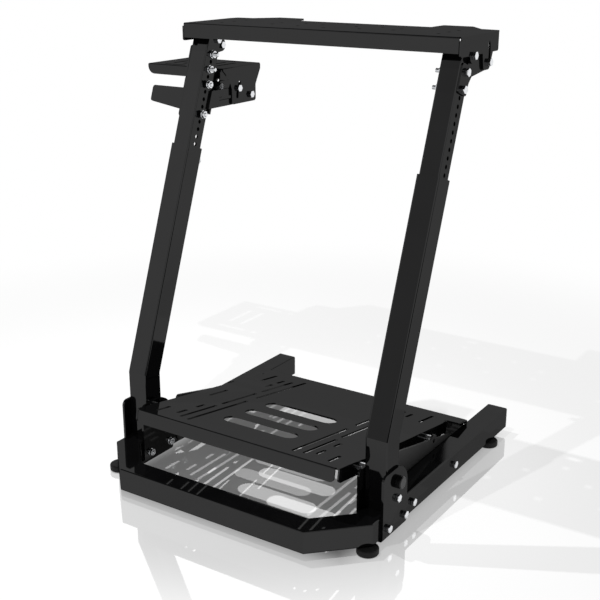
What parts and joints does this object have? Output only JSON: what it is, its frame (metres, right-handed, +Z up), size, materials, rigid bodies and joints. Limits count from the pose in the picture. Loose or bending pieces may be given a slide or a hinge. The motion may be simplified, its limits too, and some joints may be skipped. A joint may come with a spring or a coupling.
{
  "type": "racing wheel stand",
  "caption": "Free-standing black steel frame for a game steering wheel, pedals and shifter, with leaning telescopic uprights, a tilting wheel plate and a sloped slotted pedal plate.",
  "frame": {"origin": "on the floor, under the centre of the bounding box; the frame's mid-plane is at x = +0.057 m because the shifter mount stands out on the left", "axes": "+X along the front bar to the right-hand upright, +Y from the front bar towards the driver, +Z up"},
  "size_m": [0.6664, 0.595, 0.765],
  "materials": {
    "black_paint": "gloss black powder coat",
    "zinc": "bright zinc plate",
    "rubber": "moulded black rubber",
    "cap_plastic": "moulded black plastic"
  },
  "bodies": {
    "base_frame": {"front_bar": "black_paint", "pedal_plate": "black_paint", "left_corner_tube": "black_paint", "right_corner_tube": "black_paint", "left_rail": "black_paint", "right_rail": "black_paint", "left_rail_cap": "cap_plastic", "right_rail_cap": "cap_plastic", "left_upright_socket": "black_paint", "right_upright_socket": "black_paint", "left_socket_cap": "cap_plastic", "right_socket_cap": "cap_plastic", "left_lower_upright": "black_paint", "right_lower_upright": "black_paint", "left_height_screw": "zinc", "right_height_screw": "zinc", "left_pedal_support": "black_paint", "right_pedal_support": "black_paint", "left_pedal_spacers": "zinc", "right_pedal_spacers": "zinc", "left_front_foot": "rubber", "right_front_foot": "rubber", "left_rear_foot": "rubber", "right_rear_foot": "rubber"},
    "upper_frame": {"left_inner_upright": "black_paint", "right_inner_upright": "black_paint", "left_wheel_bracket": "black_paint", "right_wheel_bracket": "black_paint", "left_wheel_pivot": "zinc", "right_wheel_pivot": "zinc", "left_wheel_clamp": "zinc", "right_wheel_clamp": "zinc", "shifter_arm": "black_paint", "shifter_pivots": "zinc", "shifter_clamps": "zinc"},
    "wheel_plate": {"wheel_plate": "black_paint"},
    "shifter_shelf": {"shifter_shelf": "black_paint"}
  },
  "joints": [
    {"name": "height_slide", "type": "slide", "parent": "base_frame", "child": "upper_frame", "axis": [0, 0.3437, 0.9391], "range_m": [-0.0402, 0.0804]},
    {"name": "wheel_plate_tilt", "type": "hinge", "parent": "upper_frame", "child": "wheel_plate", "pos_m": [0.05675, 0.05446, 0.73432], "axis": [-1, 0, 0], "range_deg": [0, 22]},
    {"name": "shifter_shelf_tilt", "type": "hinge", "parent": "upper_frame", "child": "shifter_shelf", "pos_m": [-0.18675, 0.14, 0.63], "axis": [1, 0, 0], "range_deg": [0, 8]}
  ]
}
